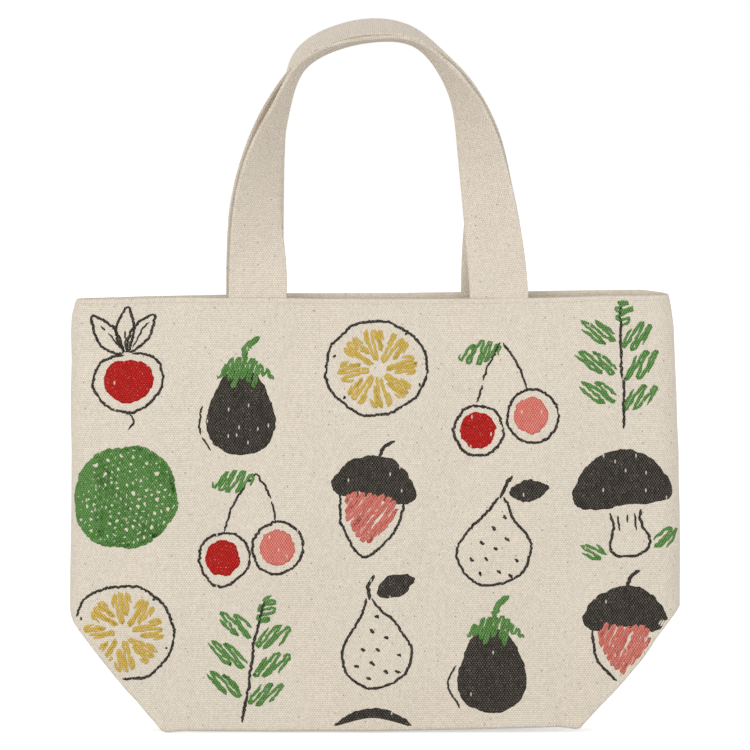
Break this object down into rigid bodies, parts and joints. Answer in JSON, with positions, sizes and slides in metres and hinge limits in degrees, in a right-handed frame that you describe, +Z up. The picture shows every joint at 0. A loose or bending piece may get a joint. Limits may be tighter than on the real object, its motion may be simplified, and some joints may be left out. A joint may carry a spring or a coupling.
{
  "type": "mini tote bag",
  "caption": "Small flat-folded canvas tote bag with a boxed bottom tucked up between the walls and flat strap handles sewn in behind the rim.",
  "frame": {"origin": "under the middle of the folded bottom, level with the surface that the bag stands on", "axes": "+Z up from the folded bottom to the handles, +X across the width to the right seen from the front, the front faces -Y"},
  "size_m": [0.3, 0.0461, 0.3516],
  "materials": {
    "natural_canvas": null,
    "strap_canvas": "unbleached plain-weave cotton canvas, folded and pressed",
    "seam_tape": "plain cotton binding tape"
  },
  "bodies": {
    "bag": {"front_cloth": "natural_canvas", "back_cloth": "natural_canvas", "front_facing": "natural_canvas", "back_facing": "natural_canvas", "front_strap_tail_left": "strap_canvas", "front_strap_tail_right": "strap_canvas", "back_strap_tail_left": "strap_canvas", "back_strap_tail_right": "strap_canvas", "left_side_seam_tape": "seam_tape", "right_side_seam_tape": "seam_tape", "bottom_seam_tape": "seam_tape", "left_corner_seam_tape": "seam_tape", "right_corner_seam_tape": "seam_tape"},
    "front_handle": {"front_handle_strap": "strap_canvas"},
    "back_handle": {"back_handle_strap": "strap_canvas"}
  },
  "joints": [
    {"name": "front_handle_fold", "type": "hinge", "parent": "bag", "child": "front_handle", "pos_m": [0, -0.011, 0.214], "axis": [1, 0, 0], "range_deg": [0, 165]},
    {"name": "back_handle_fold", "type": "hinge", "parent": "bag", "child": "back_handle", "pos_m": [0, 0.011, 0.214], "axis": [1, 0, 0], "range_deg": [-165, 0]}
  ]
}
